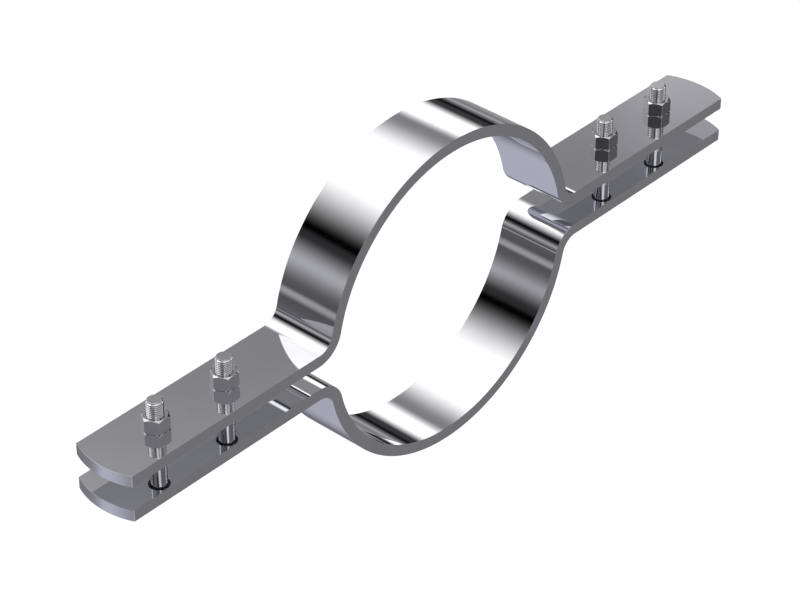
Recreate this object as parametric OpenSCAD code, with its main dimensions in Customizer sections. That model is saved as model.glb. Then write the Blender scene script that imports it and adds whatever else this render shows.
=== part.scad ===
/* [Pipe seat] */
// Radius of the pipe that the two half rings grip
pipe_r = 157.5; // [140:0.5:180]
// Gap between the upper and the lower ears
ear_gap = 25.5; // [16:0.5:36]

/* [Flat bar] */
// Width of the flat bar, along the pipe
bar_w = 70; // [56:1:80]
// Thickness of the flat bar
bar_t = 12; // [9:0.5:14]
// Inside radius of the bend between ring and ear
bend_r = 18; // [10:0.5:24]
// Distance from the pipe axis to the side corners of an ear's end
ear_x = 415.5; // [400:0.5:460]
// Radius of the shallow arc on an ear's end
end_r = 85; // [60:1:150]

/* [Bolt places] */
// Distance from the pipe axis to the inner bolts
inner_x = 268; // [240:1:280]
// Distance from the pipe axis to the outer bolts
outer_x = 353; // [320:1:370]
// Diameter of the clearance holes in the ears
hole_d = 20; // [17.5:0.5:22]

/* [Fasteners] */
// Thread diameter of the bolts
bolt_d = 16; // [14:0.5:16]
// Length of a bolt from under its head to its tip
bolt_l = 80; // [76:1:100]
// Chamfer on the tip of a bolt
tip_c = 1; // [0.5:0.1:1.5]
// Width across the flats of head and nut
hex_af = 24; // [23:0.5:26]
// Height of a bolt head
head_h = 10; // [8:0.5:12]
// Height of a nut
nut_h = 14.8; // [12:0.1:16]
// Radial running clearance between a nut's bore and its bolt
thread_gap = 0.05; // [0.02:0.01:0.1]

/* [Hidden] */

// Level of the ear's outer face, where a nut or a head bears
ear_z = ear_gap / 2 + bar_t;
// Centre of the bend between ring and ear
bend_z = ear_gap / 2 + bar_t + bend_r;
bend_x = sqrt(pow(pipe_r + bar_t + bend_r, 2) - pow(bend_z, 2));
// Angle at which the ring hands over to the bend
bend_a = atan2(bend_z, bend_x);
// Centre of the arc on the ear's end, and the ear's furthest point
end_cx = ear_x - sqrt(pow(end_r, 2) - pow(bar_w / 2, 2));
ear_tip = end_cx + end_r;
// Radius over the corners of the hexagons
hex_r = hex_af / sqrt(3);
// A length that reaches past everything
far = 2 * (pipe_r + bar_t);

steel = [0.60, 0.60, 0.63];
bolt_steel = [0.70, 0.70, 0.72];
nut_steel = [0.42, 0.42, 0.44];

// Round solid along the pipe axis, as wide as the bar plus extra
module across(r, extra = 0) {
    rotate([90, 0, 0])
        cylinder(h = bar_w + extra, r = r, center = true, $fn = 240);
}

// Prism across the bar's width over an outline given in X and Z
module plate(pts) {
    rotate([90, 0, 0])
        linear_extrude(height = bar_w, center = true)
            polygon(pts);
}

// Half ring from one bend to the other, above the pipe axis
module half_ring() {
    intersection() {
        difference() {
            across(pipe_r + bar_t);
            across(pipe_r, 2);
        }
        plate([[0, 0],
               [far * cos(bend_a), far * sin(bend_a)],
               [far * cos(bend_a), far],
               [-far * cos(bend_a), far],
               [-far * cos(bend_a), far * sin(bend_a)]]);
    }
}

// Quarter-like bend that leads from the ring into the right ear
module bend() {
    translate([bend_x, 0, bend_z])
        intersection() {
            difference() {
                across(bend_r + bar_t);
                across(bend_r, 2);
            }
            plate([[0, 0],
                   [-4 * bar_t * cos(bend_a), -4 * bar_t * sin(bend_a)],
                   [-4 * bar_t, -4 * bar_t],
                   [0, -4 * bar_t]]);
        }
}

// Straight right ear with its two holes and its arched end
module ear() {
    difference() {
        intersection() {
            translate([bend_x, -bar_w / 2, ear_gap / 2])
                cube([ear_tip - bend_x, bar_w, bar_t]);
            union() {
                translate([end_cx, 0, ear_gap / 2 - 1])
                    cylinder(h = bar_t + 2, r = end_r, $fn = 240);
                translate([bend_x - 1, -bar_w, ear_gap / 2 - 1])
                    cube([end_cx - bend_x + 1, 2 * bar_w, bar_t + 2]);
            }
        }
        for (x = [inner_x, outer_x])
            translate([x, 0, ear_gap / 2 - 1])
                cylinder(h = bar_t + 2, d = hole_d, $fn = 96);
    }
}

// One bent bar, ears up against the gap from above
module bent_bar() {
    union() {
        half_ring();
        bend();
        mirror([1, 0, 0]) bend();
        ear();
        mirror([1, 0, 0]) ear();
    }
}

// Hexagon with corners on X, chamfered at 30 degrees at its ends
module hexagon(h, low, high) {
    c = hex_af * 0.475;
    k = (hex_r + 1 - c) * tan(30);
    intersection() {
        cylinder(h = h, r = hex_r, $fn = 6);
        rotate_extrude($fn = 96)
            polygon(concat([[0, 0]],
                           low ? [[c, 0], [hex_r + 1, k]] : [[hex_r + 1, 0]],
                           high ? [[hex_r + 1, h - k], [c, h]] : [[hex_r + 1, h]],
                           [[0, h]]));
    }
}

// Bolt with its head below the lower ear and its tip above the nut
module bolt(x) {
    translate([x, 0, -ear_z]) {
        union() {
            // washer face and hexagon head
            translate([0, 0, -0.6])
                cylinder(h = 0.6, d = hex_af * 0.94, $fn = 96);
            translate([0, 0, -0.6])
                mirror([0, 0, 1]) hexagon(head_h - 0.6, false, true);
            // shank and chamfered tip
            rotate_extrude($fn = 96)
                polygon([[0, -1],
                         [bolt_d / 2, -1],
                         [bolt_d / 2, bolt_l - tip_c],
                         [bolt_d / 2 - tip_c, bolt_l],
                         [0, bolt_l]]);
        }
    }
}

// Nut on top of the upper ear, bored to run on the bolt
module nut(x) {
    translate([x, 0, ear_z])
        difference() {
            hexagon(nut_h, true, true);
            translate([0, 0, -1])
                cylinder(h = nut_h + 2, r = bolt_d / 2 + thread_gap, $fn = 96);
            // countersinks at both mouths of the bore
            rotate_extrude($fn = 96)
                polygon([[0, -1],
                         [bolt_d / 2 + 2.4, -1],
                         [bolt_d / 2 - 0.33, 0.58],
                         [0, 0.58]]);
            translate([0, 0, nut_h])
                rotate_extrude($fn = 96)
                    polygon([[0, 1],
                             [bolt_d / 2 + 2.4, 1],
                             [bolt_d / 2 - 0.33, -0.58],
                             [0, -0.58]]);
        }
}

module upper_half() { color(steel) bent_bar(); }
module lower_half() { color(steel) mirror([0, 0, 1]) bent_bar(); }
module bolt_left_outer() { color(bolt_steel) bolt(-outer_x); }
module bolt_left_inner() { color(bolt_steel) bolt(-inner_x); }
module bolt_right_inner() { color(bolt_steel) bolt(inner_x); }
module bolt_right_outer() { color(bolt_steel) bolt(outer_x); }
module nut_left_outer() { color(nut_steel) nut(-outer_x); }
module nut_left_inner() { color(nut_steel) nut(-inner_x); }
module nut_right_inner() { color(nut_steel) nut(inner_x); }
module nut_right_outer() { color(nut_steel) nut(outer_x); }

upper_half();
lower_half();
bolt_left_outer();
bolt_left_inner();
bolt_right_inner();
bolt_right_outer();
nut_left_outer();
nut_left_inner();
nut_right_inner();
nut_right_outer();
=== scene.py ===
import math

import bpy
from mathutils import Matrix, Vector


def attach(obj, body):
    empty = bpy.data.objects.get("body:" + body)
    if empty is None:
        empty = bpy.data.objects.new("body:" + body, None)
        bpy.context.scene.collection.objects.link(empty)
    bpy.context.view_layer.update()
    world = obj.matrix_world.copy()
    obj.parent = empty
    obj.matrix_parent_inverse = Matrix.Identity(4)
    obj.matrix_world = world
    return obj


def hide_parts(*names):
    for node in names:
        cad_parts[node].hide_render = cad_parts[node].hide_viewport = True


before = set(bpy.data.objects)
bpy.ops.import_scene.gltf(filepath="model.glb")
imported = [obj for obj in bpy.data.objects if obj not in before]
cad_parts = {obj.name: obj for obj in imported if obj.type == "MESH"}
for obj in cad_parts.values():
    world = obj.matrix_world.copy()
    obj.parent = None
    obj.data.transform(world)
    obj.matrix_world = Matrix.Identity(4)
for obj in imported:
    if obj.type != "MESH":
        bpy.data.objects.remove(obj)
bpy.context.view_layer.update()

MM = 0.001

# ---------------------------------------------------------------------------
# Dimensions, in millimetres, as in the part
# ---------------------------------------------------------------------------
PIPE_R = 157.5
GAP = 12.75            # half the gap between the ears
BAR_W, BAR_T = 70.0, 12.0
BEND_R = 18.0
EAR_X, END_R = 415.5, 85.0
INNER_X, OUTER_X = 268.0, 353.0
HOLE_R = 10.0
EAR_Z = GAP + BAR_T
BEND_Z = EAR_Z + BEND_R
BEND_X = math.sqrt((PIPE_R + BAR_T + BEND_R) ** 2 - BEND_Z ** 2)
BEND_A = math.atan2(BEND_Z, BEND_X)
END_CX = EAR_X - math.sqrt(END_R ** 2 - (BAR_W / 2) ** 2)
EAR_TIP = END_CX + END_R

BOLT_R, BOLT_TIP = 8.0, EAR_Z - 2 * EAR_Z + 80.0   # tip of the bolt above the pipe axis
PITCH = 2.0
HEX_AF, HEAD_H, NUT_H = 24.0, 10.0, 14.8
THREAD_FROM = BOLT_TIP - 38.0

EDGE = 0.3             # rounding along the bar's edges
CORNER = 1.0           # rounding of the ears' corners, in plan
MOUTH = 0.4            # rounding of the holes' mouths
BORED = 200.0          # the holes' walls start here across the bar's grain map


# ---------------------------------------------------------------------------
# Mesh building: every face carries its own corner normals, so that flats stay
# flat, roundings stay round, and each solid still shares its vertices
# ---------------------------------------------------------------------------
class Solid:
    def __init__(self):
        self.co, self.faces, self.normals, self.uvs = [], [], [], []

    def vert(self, x, y, z):
        self.co.append((x, y, z))
        return len(self.co) - 1

    def face(self, idx, normals=None, uv=None):
        keep = [k for k in range(len(idx)) if idx[k] != idx[k - 1]]
        if len(keep) < 3:
            return
        idx = [idx[k] for k in keep]
        normals = [normals[k] for k in keep] if normals else None
        uv = [uv[k] for k in keep] if uv else None
        self.faces.append(tuple(idx))
        self.normals.append(normals)
        self.uvs.append(uv)

    def build(self, name, flip=False, sharp_deg=32.0):
        mesh = bpy.data.meshes.new(name)
        faces, normals, uvs = self.faces, self.normals, self.uvs
        if flip:
            faces = [tuple(reversed(f)) for f in faces]
            normals = [list(reversed(n)) if n else None for n in normals]
            uvs = [list(reversed(u)) if u else None for u in uvs]
        mesh.from_pydata([(x * MM, y * MM, z * MM) for x, y, z in self.co], [], faces)
        mesh.update()
        mesh.shade_smooth()
        mesh.set_sharp_from_angle(angle=math.radians(sharp_deg))
        auto = [Vector(c.vector) for c in mesh.corner_normals]
        final, layer = [], mesh.uv_layers.new(name="bar")
        k = 0
        for f, n, u in zip(faces, normals, uvs):
            for c in range(len(f)):
                final.append(Vector(n[c]).normalized() if n and n[c] else auto[k])
                if u:
                    layer.data[k].uv = (u[c][0] * MM, u[c][1] * MM)
                else:
                    co = mesh.vertices[f[c]].co
                    layer.data[k].uv = (co.x + 0.37 * co.z, co.y + 0.61 * co.z)
                k += 1
        mesh.normals_split_custom_set(final)
        obj = bpy.data.objects.new(name, mesh)
        bpy.context.scene.collection.objects.link(obj)
        return obj


# ---------------------------------------------------------------------------
# The bent bar
# ---------------------------------------------------------------------------
def bar_line():
    """The bar from the left bend's end to the right one's: (x, z, normal x, normal z, length along it) on its pipe side."""
    pts = []

    def arc(cx, cz, r, a0, a1, n, sign):
        for k in range(n + 1):
            a = a0 + (a1 - a0) * k / n
            pts.append((cx + r * math.cos(a), cz + r * math.sin(a), sign * math.cos(a), sign * math.sin(a)))

    full = math.pi
    arc(-BEND_X, BEND_Z, BEND_R + BAR_T, -full / 2, -BEND_A, 26, -1)
    arc(0, 0, PIPE_R, full - BEND_A, BEND_A, 154, 1)
    arc(BEND_X, BEND_Z, BEND_R + BAR_T, full + BEND_A, 1.5 * full, 26, -1)
    line, s = [], 0.0
    for p in pts:
        if line:
            step = math.hypot(p[0] - line[-1][0], p[1] - line[-1][1])
            if step < 1e-4:
                continue
            s += step
        line.append((p[0], p[1], p[2], p[3], s))
    return line


def rounding(thick, r, n=4):
    """(height, inset, outward share, upward share) over an edge from one face to the other."""
    out = []
    for k in range(n + 1):
        a = math.pi / 2 * k / n
        out.append((r * (1 - math.cos(a)), r * (1 - math.sin(a)), math.sin(a), -math.cos(a)))
    for k in range(n + 1):
        a = math.pi / 2 * (1 + k / n)
        out.append((thick - r - r * math.cos(a), r * (1 - math.sin(a)), math.sin(a), -math.cos(a)))
    return out


PATCH = ((INNER_X - 23, INNER_X + 23), (OUTER_X - 23, OUTER_X + 23))   # stretch of ear round each hole


def ear_outline():
    """The right ear's edge in plan, from the bend at +Y round its end to the bend at -Y: (x, y, normal x, normal y)."""
    half = BAR_W / 2
    cx = END_CX + math.sqrt((END_R - CORNER) ** 2 - (half - CORNER) ** 2)
    b0 = math.atan2(half - CORNER, cx - END_CX)
    pts = [(x, half, 0.0, 1.0) for x in (BEND_X, 200, 222, *PATCH[0], 310, *PATCH[1], 388, 402)]
    for k in range(7):
        a = math.pi / 2 + (b0 - math.pi / 2) * k / 6
        pts.append((cx + CORNER * math.cos(a), half - CORNER + CORNER * math.sin(a), math.cos(a), math.sin(a)))
    for k in range(1, 14):
        a = b0 * (1 - k / 14)
        pts.append((END_CX + END_R * math.cos(a), END_R * math.sin(a), math.cos(a), math.sin(a)))
    return pts + [(END_CX + END_R, 0.0, 1.0, 0.0)] + [(x, -y, nx, -ny) for x, y, nx, ny in reversed(pts)]


def half_bar(name, side):
    """One bent bar. side is 1 for the upper half and -1 for the lower."""
    m = Solid()
    line = bar_line()
    length = line[-1][4]
    layers = rounding(BAR_T, EDGE)
    outline = ear_outline()
    ear_len = lambda x: length + (x - BEND_X)

    # The whole rim, as one closed loop of stations in plan order: +Y side from left to right, right end, -Y side back, left end
    rim = []   # (place function(height, inset), normal function(out, up), s)

    def on_line(p, ysign):
        x, z, nx, nz, s = p
        return (lambda h, d: (x + nx * h, ysign * (BAR_W / 2 - d), side * (z + nz * h)),
                lambda o, u: (nx * u, ysign * o, side * nz * u), s)

    def on_ear(p, right):
        x, y, mx, my = p
        sx = 1 if right else -1
        s = ear_len(x) if right else -(x - BEND_X)
        return (lambda h, d: (sx * (x - mx * d), y - my * d, side * (GAP + h)),
                lambda o, u: (sx * mx * o, my * o, side * u), s)

    for p in line:
        rim.append(on_line(p, 1))
    n_line = len(line)
    for p in outline[1:-1]:
        rim.append(on_ear(p, True))
    for p in reversed(line):
        rim.append(on_line(p, -1))
    for p in reversed(outline[1:-1]):
        rim.append(on_ear(p, False))
    grid, norm = [], []
    for place, normal, s in rim:
        grid.append([m.vert(*place(h, d)) for h, d, o, u in layers])
        norm.append([normal(o, u) for h, d, o, u in layers])
    wide = []
    w = 0.0
    for k, lay in enumerate(layers):
        if k:
            w += math.hypot(lay[0] - layers[k - 1][0], lay[1] - layers[k - 1][1])
        wide.append(w)
    count = len(rim)
    # on the rim the grain goes by the way round it
    way, t = [], 0.0
    for i in range(count + 1):
        if i:
            a, b = Vector(m.co[grid[i - 1][5]]), Vector(m.co[grid[i % count][5]])
            t += (a - b).length
        way.append(t)
    for i in range(count):
        j = (i + 1) % count
        for k in range(len(layers) - 1):
            m.face([grid[i][k], grid[i][k + 1], grid[j][k + 1], grid[j][k]],
                   [norm[i][k], norm[i][k + 1], norm[j][k + 1], norm[j][k]],
                   [(way[i], wide[k] + 80), (way[i], wide[k + 1] + 80), (way[i + 1], wide[k + 1] + 80), (way[i + 1], wide[k] + 80)])

    # The two broad faces over ring and bends: strips of quads across the bar
    top = len(layers) - 1
    back0 = n_line + len(outline) - 2            # where the -Y side starts, at the right bend's end
    for i in range(n_line - 1):
        a, b = i, i + 1
        c, d = back0 + (n_line - 1 - b), back0 + (n_line - 1 - a)
        for lay, turn in ((0, True), (top, False)):
            idx = [grid[a][lay], grid[d][lay], grid[c][lay], grid[b][lay]]
            nor = [norm[a][lay], norm[d][lay], norm[c][lay], norm[b][lay]]
            sa, sb, e = line[a][4], line[b][4], BAR_W / 2 - EDGE
            uv = [(sa, e), (sa, -e), (sb, -e), (sb, e)]
            if turn:
                idx, nor, uv = idx[::-1], nor[::-1], uv[::-1]
            m.face(idx, nor, uv)

    # The ears' flats, with the holes cut in them, and the holes' walls
    for right in (True, False):
        sx = 1 if right else -1
        start = n_line - 1 if right else back0 + n_line - 1
        ids = [(start + k) % count for k in range(len(outline))]
        holes = []
        for hx in (INNER_X, OUTER_X):
            rings = []
            for h, d, o, u in rounding(BAR_T, MOUTH, 3):
                ring, nr = [], []
                for q in range(72):
                    a = 2 * math.pi * q / 72
                    ring.append(m.vert(sx * hx + (HOLE_R + d) * math.cos(a), (HOLE_R + d) * math.sin(a), side * (GAP + h)))
                    nr.append((-o * math.cos(a), -o * math.sin(a), side * u))
                rings.append((ring, nr, h))
            for (r0, n0, h0), (r1, n1, h1) in zip(rings, rings[1:]):
                for q in range(72):
                    v = (q + 1) % 72
                    arc = [BORED + HOLE_R * 2 * math.pi * (q + e) / 72 for e in (0, 1)]
                    m.face([r0[v], r0[q], r1[q], r1[v]], [n0[v], n0[q], n1[q], n1[v]],
                           [(h0, arc[1]), (h0, arc[0]), (h1, arc[0]), (h1, arc[1])])
            holes.append((rings[0][0], rings[-1][0]))

        def flat(idx, up):
            area = 0.0
            for p, q in zip(idx, idx[1:] + idx[:1]):
                area += m.co[p][0] * m.co[q][1] - m.co[q][0] * m.co[p][1]
            if area * up * side < 0:
                idx = idx[::-1]
            m.face(idx, [(0, 0, up)] * len(idx),
                   [((m.co[i][0] * sx - BEND_X + length) if right else -(m.co[i][0] * sx - BEND_X), m.co[i][1]) for i in idx])

        for lay, which in ((0, 0), (top, 1)):
            up = side if lay else -side
            n = len(ids)
            for k in range(n // 2):
                p, q, r, t = (grid[ids[e]][lay] for e in (k, n - 1 - k, n - 2 - k, k + 1))
                # stations are counted from the +Y side on the right and from the -Y side on the left, alike in x
                lo, hi = outline[k][0], outline[k + 1][0]
                if (lo, hi) not in PATCH:
                    flat([p, q, r, t] if r != t else [p, q, r], up)
                    continue
                ring = holes[PATCH.index((lo, hi))][which]
                cx = sx * (lo + hi) / 2
                corner = {(m.co[i][0] > cx, m.co[i][1] > 0): i for i in (p, q, r, t)}
                near = lambda deg: corner[(math.cos(math.radians(deg)) > 0, math.sin(math.radians(deg)) > 0)]
                for e in range(72):
                    flat([ring[e], ring[(e + 1) % 72], near(5 * e + 2.5)], up)
                    if e % 18 == 0:
                        flat([ring[e], near(5 * e + 2.5), near(5 * e - 2.5)], up)
    return m.build(name, flip=(side < 0))


# ---------------------------------------------------------------------------
# Bolts and nuts
# ---------------------------------------------------------------------------
def hex_loop(corner_r=0.3):
    """Rounded hexagon with corners on X: (x, y, normal x, normal y), the same count on each side."""
    a = HEX_AF / 2
    pts = []
    reach = (a - corner_r) / math.cos(math.pi / 6)
    for k in range(6):
        mid = math.pi / 3 * k
        cx, cy = reach * math.cos(mid), reach * math.sin(mid)
        for q in range(3):
            t = mid + math.radians(-30 + 30 * q)
            pts.append((cx + corner_r * math.cos(t), cy + corner_r * math.sin(t), math.cos(t), math.sin(t)))
        nx, ny = math.cos(mid + math.pi / 6), math.sin(mid + math.pi / 6)
        nxt = (reach * math.cos(mid + math.pi / 3), reach * math.sin(mid + math.pi / 3))
        x0, y0 = cx + corner_r * nx, cy + corner_r * ny
        x1, y1 = nxt[0] + corner_r * nx, nxt[1] + corner_r * ny
        for q in range(1, 12):
            f = q / 12
            pts.append((x0 + (x1 - x0) * f, y0 + (y1 - y0) * f, nx, ny))
    return pts[1:] + pts[:1]


def hex_sides(m, cx, z_low, z_high, low, high, inner_low, inner_high):
    """Hexagon's sides between two levels, chamfered at 30 degrees where low or high says so.
    inner_low and inner_high are rings of vertices (same count as the loop) that the end faces run in to."""
    loop = hex_loop()
    n = len(loop)
    rc = HEX_AF * 0.475
    tan30 = math.tan(math.pi / 6)
    soft = 0.22

    def ring(points, z_of):
        return [m.vert(cx + x, y, z_of(x, y)) for x, y in points]

    def strip(r0, n0, r1, n1):
        for i in range(n):
            j = (i + 1) % n
            m.face([r0[i], r0[j], r1[j], r1[i]], [n0[i], n0[j], n1[j], n1[i]])

    wall = [(nx, ny, 0.0) for _, _, nx, ny in loop]
    pts = [(x, y) for x, y, _, _ in loop]
    dirs = [(x / math.hypot(x, y), y / math.hypot(x, y)) for x, y in pts]

    def end(z, sign, chamfer, inner):
        """Rings from the wall in to the end face's flat part, listed from the wall."""
        flat = [(0.0, 0.0, sign)] * n
        if not chamfer:
            # a broken edge all round
            a = ring(pts, lambda x, y: z - sign * soft)
            inset = [(x - soft * nx, y - soft * ny) for x, y, nx, ny in loop]
            b = ring(inset, lambda x, y: z)
            return [(a, wall), (b, flat)], (b, flat)
        cone = [(dx * 0.5, dy * 0.5, sign * math.cos(math.pi / 6)) for dx, dy in dirs]
        drop = lambda x, y: max(0.0, (math.hypot(x, y) - rc) * tan30)
        a = ring(pts, lambda x, y: z - sign * (drop(x, y) + soft))
        inset = [(x - soft * dx, y - soft * dy) for (x, y), (dx, dy) in zip(pts, dirs)]
        b = ring(inset, lambda x, y: z - sign * drop(x, y))
        c = ring([((rc + 0.12) * dx, (rc + 0.12) * dy) for dx, dy in dirs], lambda x, y: z - sign * 0.12 * tan30)
        d = ring([((rc - 0.12) * dx, (rc - 0.12) * dy) for dx, dy in dirs], lambda x, y: z)
        return [(a, wall), (b, cone), (c, cone), (d, flat)], (d, flat)

    low_rings, low_last = end(z_low, -1.0, low, inner_low)
    high_rings, high_last = end(z_high, 1.0, high, inner_high)
    low_rings = list(reversed(low_rings))
    if inner_low:
        strip(inner_low, [(0, 0, -1.0)] * n, *low_last)
    for (r0, n0), (r1, n1) in zip(low_rings, low_rings[1:]):
        strip(r0, n0, r1, n1)
    strip(low_rings[-1][0], wall, high_rings[0][0], wall)
    for (r0, n0), (r1, n1) in zip(high_rings, high_rings[1:]):
        strip(r0, n0, r1, n1)
    if inner_high:
        strip(*high_last, inner_high, [(0, 0, 1.0)] * n)


def hex_angles():
    return [math.atan2(y, x) for x, y, _, _ in hex_loop()]


def circle(m, cx, r, z, angles):
    return [m.vert(cx + r * math.cos(a), r * math.sin(a), z) for a in angles]


def lathe(m, cx, angles, rings, normals, inward=False):
    """Strips between circles of the same angles. normals gives, for each strip, (radial, up) at its two circles."""
    n = len(angles)
    for (r0, r1), ((a0, u0), (a1, u1)) in zip(zip(rings, rings[1:]), normals):
        for i in range(n):
            j = (i + 1) % n
            ci, si, cj, sj = math.cos(angles[i]), math.sin(angles[i]), math.cos(angles[j]), math.sin(angles[j])
            m.face([r0[i], r0[j], r1[j], r1[i]],
                   [(a0 * ci, a0 * si, u0), (a0 * cj, a0 * sj, u0), (a1 * cj, a1 * sj, u1), (a1 * ci, a1 * si, u1)])


def thread_rows(crest, root):
    """One pitch of a 60 degree thread as (share of a turn's rise, radius): crest flat, flank, root flat, flank."""
    flank = abs(crest - root) * math.tan(math.pi / 6)
    flat = PITCH / 8
    rest = PITCH - flat - 2 * flank
    e = 0.04
    down = (root - crest)
    return [(0.0, crest), (flat, crest),
            (flat + e, crest + down * e / flank), (flat + flank - e, root - down * e / flank),
            (flat + flank, root), (flat + flank + rest, root),
            (flat + flank + rest + e, root - down * e / flank), (PITCH - e, crest + down * e / flank)]


def thread(m, cx, z0, z1, phase, profile, limit, angles, start, stop, inward=False):
    """Right-hand helical surface between levels z0 and z1. limit(r, z) blends it into its ends.
    start and stop are the rings of vertices that close it, one for each angle."""
    n, k = len(angles), len(profile)
    first = math.floor((z0 - phase) / PITCH) - 2
    turns = math.ceil((z1 - z0) / PITCH) + 4
    table = []
    for i, a in enumerate(angles):
        turn = (a % (2 * math.pi)) / (2 * math.pi)
        col = []
        for t in range(turns + 1):
            for u, r in profile:
                z = phase + (first + t) * PITCH + u + PITCH * turn
                if z <= z0 + 0.02:
                    col.append(start[i])
                elif z >= z1 - 0.02:
                    col.append(stop[i])
                else:
                    r = limit(r, z)
                    col.append(m.vert(cx + r * math.cos(a), r * math.sin(a), z))
        table.append(col)
    rows = len(table[0])
    for i in range(n):
        j = (i + 1) % n
        shift = k if j == 0 else 0
        for q in range(rows - 1):
            p, p2 = q, q + 1
            if shift:
                # the helix closes on itself one pitch up
                b0, b1 = p + shift, p2 + shift
                if b1 >= rows:
                    continue
            else:
                b0, b1 = p, p2
            idx = [table[i][p], table[j][b0], table[j][b1], table[i][p2]]
            if inward:
                idx = idx[::-1]
            quad(m, idx)


def quad(m, idx):
    out = []
    for v in idx:
        if v not in out:
            out.append(v)
    if len(out) >= 3:
        m.face(out)


def bolt(name, x):
    m = Solid()
    around = hex_angles()
    n = len(around)
    hex_bottom = -EAR_Z - HEAD_H
    face = -EAR_Z
    washer_r = HEX_AF * 0.47

    # head: chamfered at its outer end, with a round bearing face under it
    centre = m.vert(x, 0, hex_bottom)
    in_low = circle(m, x, 5.0, hex_bottom, around)
    for i in range(n):
        j = (i + 1) % n
        m.face([in_low[j], in_low[i], centre], [(0, 0, -1)] * 3)
    in_high = circle(m, x, washer_r, face - 0.6, around)
    hex_sides(m, x, hex_bottom, face - 0.6, True, False, in_low, in_high)
    w1 = circle(m, x, washer_r, face - 0.12, around)
    w2 = circle(m, x, washer_r - 0.12, face, around)
    f0 = circle(m, x, BOLT_R + 0.7, face, around)
    f1 = circle(m, x, BOLT_R + 0.205, face + 0.205, around)
    f2 = circle(m, x, BOLT_R, face + 0.7, around)
    shank_top = circle(m, x, BOLT_R, THREAD_FROM, around)
    s = math.sqrt(0.5)
    lathe(m, x, around, [in_high, w1, w2, f0, f1, f2, shank_top],
          [((1, 0), (1, 0)), ((1, 0), (0, 1)), ((0, 1), (0, 1)), ((0, 1), (s, s)), ((s, s), (1, 0)), ((1, 0), (1, 0))])

    # thread, run out into the shank below and chamfered to its root at the tip
    tip_r, tip_in = 6.72, 0.25
    end_ring = circle(m, x, tip_r, BOLT_TIP - tip_in * 0.6, around)

    def limit(r, z):
        run_out = min(1.0, max(0.0, (z - THREAD_FROM) / 2.4))
        r = BOLT_R - (BOLT_R - r) * run_out
        return min(r, tip_r + (BOLT_TIP - tip_in * 0.6 - z))

    thread(m, x, THREAD_FROM, BOLT_TIP - tip_in * 0.6, 0.0, thread_rows(BOLT_R, BOLT_R - 0.61343 * PITCH),
           limit, around, shank_top, end_ring)
    t1 = circle(m, x, tip_r - tip_in, BOLT_TIP, around)
    lathe(m, x, around, [end_ring, t1], [((s, s), (0, 1))])
    top = m.vert(x, 0, BOLT_TIP)
    for i in range(n):
        j = (i + 1) % n
        m.face([t1[i], t1[j], top], [(0, 0, 1)] * 3)
    return m.build(name)


def nut(name, x):
    m = Solid()
    around = hex_angles()
    z0, z1 = EAR_Z, EAR_Z + NUT_H
    mouth = 8.67
    low = circle(m, x, mouth, z0, around)
    high = circle(m, x, mouth, z1, around)
    hex_sides(m, x, z0, z1, True, True, low, high)

    # inner thread: its crest stands in the bolt's root with running clearance
    inner, outer = 6.9, 8.06
    slope = 2.73 / 1.58

    def limit(r, z):
        depth = min(z - z0, z1 - z)
        return max(r, mouth - slope * depth)

    # the nut's groove holds the bolt's crest: it is a little wider, and starts a little lower
    c = 0.05
    steep = math.tan(math.pi / 6)
    groove = PITCH / 8 + 2 * c - 2 * (outer - BOLT_R) * steep
    side = (outer - inner) * steep
    land = PITCH - groove - 2 * side
    e = 0.04
    start = -c + (outer - BOLT_R) * steep
    rows = [(start, outer), (start + groove, outer),
            (start + groove + e, outer - e / steep), (start + groove + side - e, inner + e / steep),
            (start + groove + side, inner), (start + groove + side + land, inner),
            (start + groove + side + land + e, inner + e / steep), (start + PITCH - e, outer - e / steep)]
    thread(m, x, z0, z1, 0.0, rows, limit, around, low, high, inward=True)
    return m.build(name)


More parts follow.
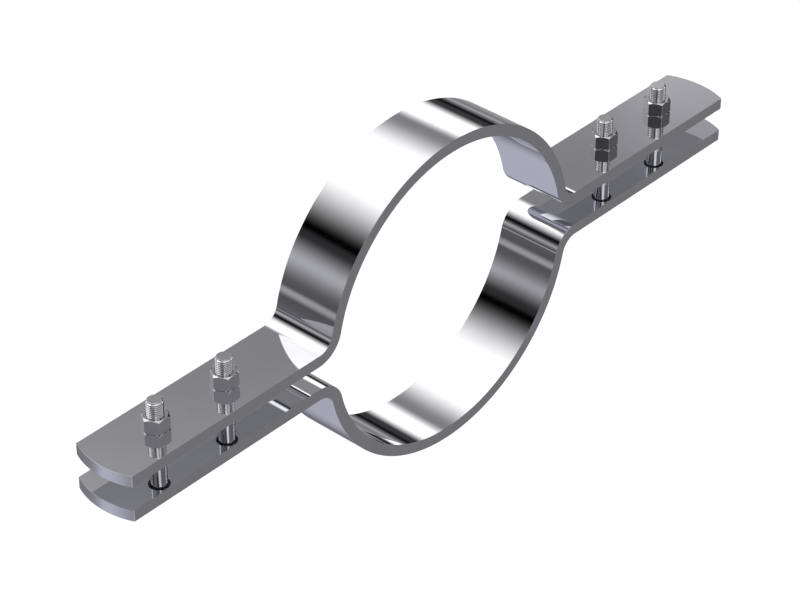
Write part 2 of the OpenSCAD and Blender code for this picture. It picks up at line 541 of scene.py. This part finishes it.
# ---------------------------------------------------------------------------
# Materials
# ---------------------------------------------------------------------------
def steel(name, base, rough, rough_var, grain, grain_depth, speck, along_bar):
    """Bright polished steel: a trace of cloud in its tone, faint drawing lines along the bar, fine specks and uneven gloss."""
    mat = bpy.data.materials.new(name)
    mat.use_nodes = True
    nt = mat.node_tree
    nt.nodes.clear()
    N, L = nt.nodes, nt.links
    out = N.new("ShaderNodeOutputMaterial")
    bsdf = N.new("ShaderNodeBsdfPrincipled")
    L.new(bsdf.outputs[0], out.inputs["Surface"])
    bsdf.inputs["Metallic"].default_value = 1.0
    coord = N.new("ShaderNodeTexCoord")
    uv = N.new("ShaderNodeUVMap"); uv.uv_map = "bar"

    # slow cloud over the whole piece
    cloud = N.new("ShaderNodeTexNoise"); cloud.inputs["Scale"].default_value = 22.0
    cloud.inputs["Detail"].default_value = 3.0; cloud.inputs["Roughness"].default_value = 0.55
    L.new(coord.outputs["Object"], cloud.inputs["Vector"])
    # drawing lines: noise stretched along the bar
    stretch = N.new("ShaderNodeMapping")
    stretch.inputs["Scale"].default_value = (grain * 0.02, grain, 1.0) if along_bar else (grain, grain, grain * 0.1)
    L.new(uv.outputs["UV"] if along_bar else coord.outputs["Object"], stretch.inputs["Vector"])
    lines = N.new("ShaderNodeTexNoise"); lines.inputs["Scale"].default_value = 1.0
    lines.inputs["Detail"].default_value = 4.0; lines.inputs["Roughness"].default_value = 0.6
    L.new(stretch.outputs[0], lines.inputs["Vector"])
    # fine specks
    dust = N.new("ShaderNodeTexNoise"); dust.inputs["Scale"].default_value = speck
    dust.inputs["Detail"].default_value = 2.0
    L.new(coord.outputs["Object"], dust.inputs["Vector"])

    tone = N.new("ShaderNodeMapRange")
    tone.inputs["From Min"].default_value = 0.3; tone.inputs["From Max"].default_value = 0.7
    tone.inputs["To Min"].default_value = 0.0; tone.inputs["To Max"].default_value = 1.0
    L.new(cloud.outputs["Fac"], tone.inputs["Value"])
    mix = N.new("ShaderNodeMix"); mix.data_type = "RGBA"
    lo, hi = [c * 0.975 for c in base], [min(1.0, c * 1.025) for c in base]
    mix.inputs[6].default_value = (*lo, 1); mix.inputs[7].default_value = (*hi, 1)
    L.new(tone.outputs[0], mix.inputs[0])
    L.new(mix.outputs[2], bsdf.inputs["Base Color"])

    r1 = N.new("ShaderNodeMapRange")
    r1.inputs["From Min"].default_value = 0.3; r1.inputs["From Max"].default_value = 0.7
    r1.inputs["To Min"].default_value = rough; r1.inputs["To Max"].default_value = rough + rough_var
    L.new(lines.outputs["Fac"], r1.inputs["Value"])
    r2 = N.new("ShaderNodeMath"); r2.operation = "MULTIPLY_ADD"
    r2.inputs[1].default_value = rough_var * 0.6
    L.new(cloud.outputs["Fac"], r2.inputs[0]); L.new(r1.outputs[0], r2.inputs[2])
    if along_bar:
        # the holes' walls are duller, as drilled
        part = N.new("ShaderNodeSeparateXYZ")
        L.new(uv.outputs["UV"], part.inputs[0])
        wall = N.new("ShaderNodeMapRange")
        wall.inputs["From Min"].default_value = 0.15; wall.inputs["From Max"].default_value = 0.19
        wall.inputs["To Min"].default_value = 0.0; wall.inputs["To Max"].default_value = 0.42
        L.new(part.outputs["Y"], wall.inputs["Value"])
        r3 = N.new("ShaderNodeMath"); r3.operation = "ADD"
        L.new(r2.outputs[0], r3.inputs[0]); L.new(wall.outputs[0], r3.inputs[1])
        L.new(r3.outputs[0], bsdf.inputs["Roughness"])
    else:
        L.new(r2.outputs[0], bsdf.inputs["Roughness"])

    height = N.new("ShaderNodeMath"); height.operation = "MULTIPLY_ADD"
    height.inputs[1].default_value = 0.35
    L.new(dust.outputs["Fac"], height.inputs[0]); L.new(lines.outputs["Fac"], height.inputs[2])
    bump = N.new("ShaderNodeBump")
    bump.inputs["Strength"].default_value = 1.0
    bump.inputs["Distance"].default_value = grain_depth
    L.new(height.outputs[0], bump.inputs["Height"])
    L.new(bump.outputs[0], bsdf.inputs["Normal"])
    return mat


clamp_mat = steel("polished_clamp_steel", (0.775, 0.775, 0.80), 0.015, 0.02, 1500.0, 0.0000008, 900.0, True)
bolt_mat = steel("bright_bolt_steel", (0.845, 0.845, 0.86), 0.03, 0.03, 900.0, 0.0000015, 700.0, False)
nut_mat = steel("bright_nut_steel", (0.715, 0.715, 0.735), 0.03, 0.03, 900.0, 0.0000015, 700.0, False)


def place(obj, mat, body, node, slot):
    obj.data.materials.append(mat)
    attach(obj, body)
    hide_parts(node)


place(half_bar("upper_half_bar", 1), clamp_mat, "upper_body", "upper_half", "clamp_steel")
place(half_bar("lower_half_bar", -1), clamp_mat, "lower_body", "lower_half", "clamp_steel")
for where, x in (("left_outer", -OUTER_X), ("left_inner", -INNER_X), ("right_inner", INNER_X), ("right_outer", OUTER_X)):
    place(bolt("hex_bolt_" + where, x), bolt_mat, "lower_body", "bolt_" + where, "bolt_steel")
    place(nut("hex_nut_" + where, x), nut_mat, "nut_" + where + "_body", "nut_" + where, "nut_steel")


# ---------------------------------------------------------------------------
# Studio: white surroundings, and long soft lamps that lie along the pipe's
# direction, which the polished steel mirrors
# ---------------------------------------------------------------------------
def studio():
    world = bpy.data.worlds.new("studio")
    bpy.context.scene.world = world
    world.use_nodes = True
    nt = world.node_tree
    nt.nodes.clear()
    N, L = nt.nodes, nt.links
    out = N.new("ShaderNodeOutputWorld")
    back = N.new("ShaderNodeBackground")
    L.new(back.outputs[0], out.inputs["Surface"])
    coord = N.new("ShaderNodeTexCoord")
    sep = N.new("ShaderNodeSeparateXYZ")
    L.new(coord.outputs["Generated"], sep.inputs[0])
    turn = N.new("ShaderNodeMath"); turn.operation = "ARCTAN2"
    L.new(sep.outputs["Z"], turn.inputs[0]); L.new(sep.outputs["X"], turn.inputs[1])
    deg = N.new("ShaderNodeMath"); deg.operation = "DEGREES"
    L.new(turn.outputs[0], deg.inputs[0])
    wrap = N.new("ShaderNodeMath"); wrap.operation = "WRAP"
    wrap.inputs[1].default_value = 260.0; wrap.inputs[2].default_value = -100.0
    L.new(deg.outputs[0], wrap.inputs[0])
    psi, along = wrap.outputs[0], sep.outputs["Y"]

    # the same angle about straight up, a little wider the nearer the direction is to the front
    def sums(op, a, *rest):
        n = N.new("ShaderNodeMath"); n.operation = op
        L.new(a, n.inputs[0])
        for k, b in enumerate(rest, 1):
            if isinstance(b, float):
                n.inputs[k].default_value = b
            else:
                L.new(b, n.inputs[k])
        return n.outputs[0]

    held = sums("MAXIMUM", sums("MINIMUM", along, 0.60), 0.52)
    flare = sums("MULTIPLY_ADD", held, 1.2, 1.0 - 1.2 * 0.545)
    flared = sums("ADD", sums("MULTIPLY", sums("SUBTRACT", psi, 90.0), flare), 90.0)

    def soft(value, a, b):
        n = N.new("ShaderNodeMapRange")
        n.interpolation_type = "SMOOTHSTEP"
        n.inputs["From Min"].default_value = a; n.inputs["From Max"].default_value = b
        n.inputs["To Min"].default_value = 0.0; n.inputs["To Max"].default_value = 1.0
        L.new(value, n.inputs["Value"])
        return n.outputs[0]

    steepness = sums("ABSOLUTE", sep.outputs["Z"])
    total = None

    def lamp(power, tint, low=None, high=None, near=None, far=None, low_by=psi, high_by=psi, steep=None):
        """A lamp between two directions about the pipe's axis, in degrees from +X through +Z. low and high are each
        (starts, full) and (full, ends). near and far do the same along the pipe, from -Y to +Y, and steep
        (starts, full) away from the horizon."""
        nonlocal total
        masks = []
        if low: masks.append(soft(low_by, *low))
        if high: masks.append(soft(high_by, high[1], high[0]))
        if near: masks.append(soft(along, *near))
        if far: masks.append(soft(along, far[1], far[0]))
        if steep: masks.append(soft(steepness, *steep))
        m = masks[0]
        for other in masks[1:]:
            m = sums("MULTIPLY", m, other)
        colour = N.new("ShaderNodeVectorMath"); colour.operation = "SCALE"
        colour.inputs[0].default_value = [power * t for t in tint]
        L.new(m, colour.inputs["Scale"])
        if total is None:
            total = colour.outputs[0]
        else:
            add = N.new("ShaderNodeVectorMath"); add.operation = "ADD"
            L.new(total, add.inputs[0]); L.new(colour.outputs[0], add.inputs[1])
            total = add.outputs[0]

    white, cool, lilac = (1.0, 1.0, 1.0), (0.975, 0.97, 1.035), (0.955, 0.975, 1.15)

    # overhead key, with a long soft fall-off to the left and a shorter one to the right, and its part nearer the front
    lamp(1.52, white, (42.9, 78.6), (99.3, 142.8), (0.25, 0.46), (0.60, 0.72), flared, flared)
    lamp(1.52, white, (60, 77), (112, 136), (-0.62, -0.52), (-0.46, -0.25))
    # its middle and its far ends are dimmer
    lamp(0.54, white, (42, 80), (98, 142), (-0.46, -0.25), (0.25, 0.46))
    lamp(0.55, white, (45, 85), (95, 135), (0.83, 0.87))
    lamp(0.55, white, (45, 85), (95, 135), None, (-0.86, -0.83))
    # slim lamp low on the right, above the horizon, and its dimmer end
    lamp(1.90, white, (8.5, 24), (25.6, 40.9), (0.47, 0.53), (0.56, 0.7), psi, flared)
    lamp(0.05, cool, (0, 7), (7, 12), (0.0, 0.3))
    lamp(0.16, cool, (24, 30), (35.5, 40), (0.4, 0.46), (0.505, 0.53))
    # fill between the two
    lamp(0.27, cool, (22, 34), (60, 90), (0.0, 0.3))
    # upright strips in front, behind and at the right, for the bolts and nuts
    lamp(0.82, white, (110, 115), (152, 160), (-0.85, -0.82), (-0.62, -0.55))
    lamp(0.85, white, (215, 218), (246, 251), (-0.85, -0.82), (-0.62, -0.55), steep=(0.49, 0.515))
    lamp(0.80, white, (98, 106), (140, 147), (0.61, 0.68), (0.82, 0.90), steep=(0.49, 0.515))
    lamp(1.40, white, (18, 24), (41, 45), (-0.47, -0.38), (-0.2, -0.1))
    # low left lamps
    lamp(0.50, cool, (149.5, 167), (162.7, 180.3), (-0.3, 0.2), None, flared, psi)
    lamp(0.03, cool, (144, 148.5), (153, 160), (-0.3, 0.2), None, flared, flared)
    lamp(0.28, cool, (182.3, 185.5), (186, 190.5), (-0.3, 0.2))
    lamp(0.11, cool, (168, 180), (186, 205), (0.0, 0.3))
    # below the horizon on the right
    lamp(0.24, cool, (1.3, -7), (-50, -66), (0.0, 0.3))
    lamp(0.05, cool, (-34, -42), (-50, -62), (0.0, 0.3))
    lamp(0.17, cool, (-12.0, -9.5), (-8.5, -5), (0.0, 0.3))
    lamp(0.12, white, (-14, -27), (-31, -38), (0.0, 0.3))
    # lilac bounce from below
    lamp(0.52, lilac, None, (-88, -48), (-0.6, 0.5), (0.50, 0.82))
    lamp(0.52, lilac, (188, 220), None, (-0.6, 0.5), (0.50, 0.82))
    # dim front of the room, and its far end
    lamp(0.205, cool, None, (5, 30), None, (-0.1, 0.25))
    lamp(0.27, cool, (26, 50), (100, 130), None, (-0.1, 0.25))
    lamp(0.26, cool, (150, 175), None, None, (-0.4, 0.05))
    lamp(0.27, cool, (108, 120), (150, 165), (-0.3, -0.2), (0.1, 0.35))
    lamp(0.07, cool, (108, 120), (150, 165), None, (-0.3, -0.2))
    lamp(0.20, cool, None, None, (0.60, 0.80))
    lamp(0.06, white, (60, 90), (110, 140), (0.62, 0.80))
    lamp(0.001, cool, None, None, (-1.2, -1.1))

    path = N.new("ShaderNodeLightPath")
    mix = N.new("ShaderNodeMix"); mix.data_type = "RGBA"
    mix.inputs[6].default_value = (1.1, 1.1, 1.1, 1)
    L.new(path.outputs["Is Glossy Ray"], mix.inputs[0])
    L.new(total, mix.inputs[7])
    L.new(mix.outputs[2], back.inputs["Color"])
    back.inputs["Strength"].default_value = 1.0


studio()

# Pale floor, well below the clamp, which hangs on its pipe
floor_mesh = bpy.data.meshes.new("floor")
fz, fs = -0.9, 30.0
floor_mesh.from_pydata([(-fs, -fs, fz), (fs, -fs, fz), (fs, fs, fz), (-fs, fs, fz)], [], [(0, 1, 2, 3)])
floor = bpy.data.objects.new("floor", floor_mesh)
bpy.context.scene.collection.objects.link(floor)
fm = bpy.data.materials.new("pale_floor")
fm.use_nodes = True
nt = fm.node_tree
nt.nodes.clear()
fo = nt.nodes.new("ShaderNodeOutputMaterial")
fd = nt.nodes.new("ShaderNodeBsdfDiffuse")
fd.inputs["Color"].default_value = (0.95, 0.95, 0.95, 1)
ft = nt.nodes.new("ShaderNodeBsdfTransparent")
fg = nt.nodes.new("ShaderNodeNewGeometry")
fx = nt.nodes.new("ShaderNodeMixShader")
nt.links.new(fg.outputs["Backfacing"], fx.inputs[0])
nt.links.new(fd.outputs[0], fx.inputs[1])
nt.links.new(ft.outputs[0], fx.inputs[2])
nt.links.new(fx.outputs[0], fo.inputs["Surface"])
floor_mesh.materials.append(fm)
floor.visible_glossy = False

# ---------------------------------------------------------------------------
# Camera at the photograph's angle
# ---------------------------------------------------------------------------
az, el = math.radians(-47.91), math.radians(35.35)
back = Vector((math.sin(az) * math.cos(el), -math.cos(az) * math.cos(el), math.sin(el)))
right = Vector((math.cos(az), math.sin(az), 0.0))
up = back.cross(right)
cam_data = bpy.data.cameras.new("camera")
cam_data.sensor_width = 36.0
cam_data.lens = 134.81
cam_data.clip_end = 200.0
cam = bpy.data.objects.new("camera", cam_data)
bpy.context.scene.collection.objects.link(cam)
spot = back * 2.841 - right * 0.02373 - up * 0.0207
cam.matrix_world = Matrix(((right.x, up.x, back.x, spot.x), (right.y, up.y, back.y, spot.y),
                           (right.z, up.z, back.z, spot.z), (0, 0, 0, 1)))
bpy.context.scene.camera = cam

view = bpy.context.scene.view_settings
view.view_transform = "Standard"
view.look = "None"
view.exposure = 0.0
view.gamma = 1.0

# the polished faces of the gap mirror each other several times over
bpy.context.scene.cycles.glossy_bounces = 12
